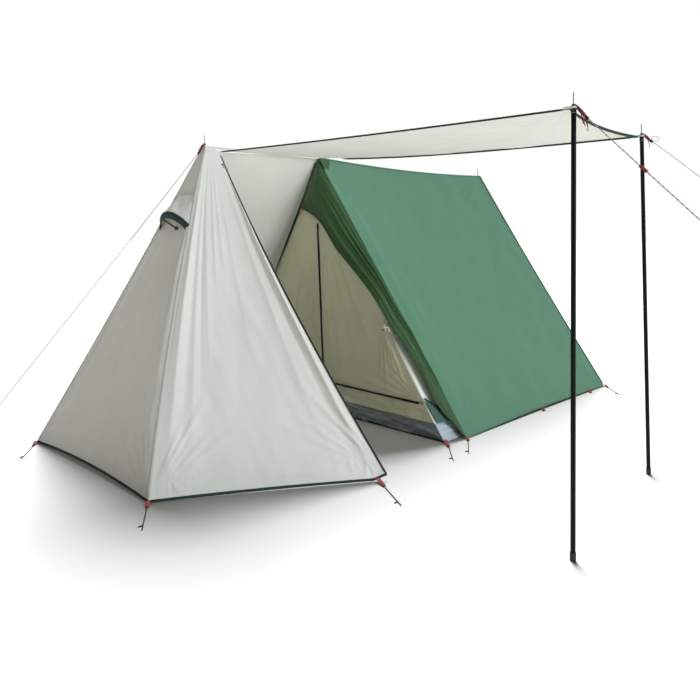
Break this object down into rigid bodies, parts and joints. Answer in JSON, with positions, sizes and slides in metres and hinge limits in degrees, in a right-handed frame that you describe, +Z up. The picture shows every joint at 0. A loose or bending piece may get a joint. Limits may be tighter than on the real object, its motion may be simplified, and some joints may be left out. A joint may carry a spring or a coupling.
{
  "type": "ridge tent",
  "caption": "Ridge tent with a steep green sleeping end, a pale hipped porch and a porch side raised as an awning on two poles.",
  "frame": {"origin": "on the ground under the centre of the sleeping floor", "axes": "+X along the ridge from the porch to the rear, -Y to the awning side, +Z up"},
  "size_m": [4.7924, 4.143, 1.758],
  "materials": {
    "pole": "satin",
    "pole_foot": "matte",
    "steel_spike": "satin",
    "pale_cloth": "matte",
    "pale_band": "matte",
    "dark_binding": "matte",
    "black_zip": "matte",
    "zip_metal": "satin",
    "green_fly": "satin",
    "green_facing": "satin",
    "olive_cloth": "matte",
    "groundsheet": "satin",
    "red_webbing": "matte",
    "peg_steel": "satin",
    "guy_cord": "matte",
    "red_plastic": "satin",
    "black_plastic": "satin"
  },
  "bodies": {
    "tent": {"front_pole_lower": "pole", "front_pole_middle": "pole", "front_pole_upper": "pole", "centre_pole_lower": "pole", "centre_pole_middle": "pole", "centre_pole_upper": "pole", "rear_pole_lower": "pole", "rear_pole_middle": "pole", "rear_pole_upper": "pole", "awning_pole_1_lower": "pole", "awning_pole_1_middle": "pole", "awning_pole_1_upper": "pole", "awning_pole_2_lower": "pole", "awning_pole_2_middle": "pole", "awning_pole_2_upper": "pole", "pole_feet": "pole_foot", "pole_spikes": "steel_spike", "vestibule_end_panel": "pale_cloth", "vestibule_near_panel": "pale_cloth", "vestibule_far_panel": "pale_cloth", "vestibule_far_door": "pale_cloth", "vestibule_ridge_band": "pale_band", "vestibule_hem": "dark_binding", "awning_eyelet_tabs": "dark_binding", "door_zip_tape": "black_zip", "fly_near_panel": "green_fly", "fly_far_panel": "green_fly", "fly_rear_panel": "green_fly", "fly_near_facing": "green_facing", "fly_far_facing": "green_facing", "fly_ridge_band": "green_fly", "fly_hem": "green_fly", "groundsheet": "groundsheet", "groundsheet_upstands": "groundsheet", "inner_near_wall": "olive_cloth", "inner_far_wall": "olive_cloth", "inner_rear_wall": "olive_cloth", "inner_front_top": "olive_cloth", "inner_front_margins": "olive_cloth", "inner_front_sill": "olive_cloth", "inner_zip_tapes": "black_zip", "peg_loops": "red_webbing", "ground_pegs": "peg_steel", "guy_loops": "red_webbing", "front_guy_line": "guy_cord", "awning_guy_line_1": "guy_cord", "awning_guy_line_2": "guy_cord"},
    "awning": {"awning_panel": "pale_cloth", "awning_hem": "dark_binding"},
    "door_slider": {"door_zip_slider": "zip_metal"},
    "vent_flap": {"vent_hood": "pale_cloth", "vent_brim": "dark_binding"},
    "vent_prop": {"vent_strut": "black_plastic"},
    "inner_leaf_near": {"inner_door_near": "olive_cloth"},
    "inner_leaf_far": {"inner_door_far": "olive_cloth"},
    "centre_slider": {"centre_zip_slider": "zip_metal"},
    "sill_slider": {"sill_zip_slider": "zip_metal"},
    "front_tensioner": {"front_guy_slider": "red_plastic"},
    "awning_tensioner": {"awning_guy_slider": "red_plastic"}
  },
  "joints": [
    {"name": "awning_swing", "type": "hinge", "parent": "tent", "child": "awning", "pos_m": [-1.3, 0, 1.7], "axis": [1, 0, 0], "range_deg": [0, 50]},
    {"name": "inner_door_near_swing", "type": "hinge", "parent": "tent", "child": "inner_leaf_near", "pos_m": [-0.966, -0.879, 0.2], "axis": [0, 0.5995, 0.8004], "range_deg": [0, 90]},
    {"name": "inner_door_far_swing", "type": "hinge", "parent": "tent", "child": "inner_leaf_far", "pos_m": [-0.966, 0.879, 0.2], "axis": [0, 0.5995, -0.8004], "range_deg": [0, 90]},
    {"name": "door_zip_slide", "type": "slide", "parent": "tent", "child": "door_slider", "axis": [0.0742, -0.5743, -0.8153], "range_m": [0, 1.85]},
    {"name": "centre_zip_slide", "type": "slide", "parent": "tent", "child": "centre_slider", "axis": [0, -0.0569, -0.9984], "range_m": [0, 1]},
    {"name": "sill_zip_slide", "type": "slide", "parent": "tent", "child": "sill_slider", "axis": [0, -1, 0], "range_m": [0, 0.72]},
    {"name": "vent_flap_close", "type": "hinge", "parent": "tent", "child": "vent_flap", "pos_m": [-2.00859, 0, 1.37116], "axis": [0, -1, 0], "range_deg": [0, 14]},
    {"name": "vent_prop_fold", "type": "hinge", "parent": "tent", "child": "vent_prop", "pos_m": [-2.07702, -0.045, 1.2177], "axis": [-0.3655, 0.3172, -0.8751], "range_deg": [0, 9.8]},
    {"name": "front_tensioner_slide", "type": "slide", "parent": "tent", "child": "front_tensioner", "axis": [-0.6544, 0, -0.7562], "range_m": [-0.12, 0.12]},
    {"name": "awning_tensioner_slide", "type": "slide", "parent": "tent", "child": "awning_tensioner", "axis": [-0.0498, -0.7199, -0.6922], "range_m": [-0.06, 0.08]}
  ],
  "couplings": [
    {"joint": "vent_prop_fold", "follows": "vent_flap_close", "ratio": 0.7}
  ]
}
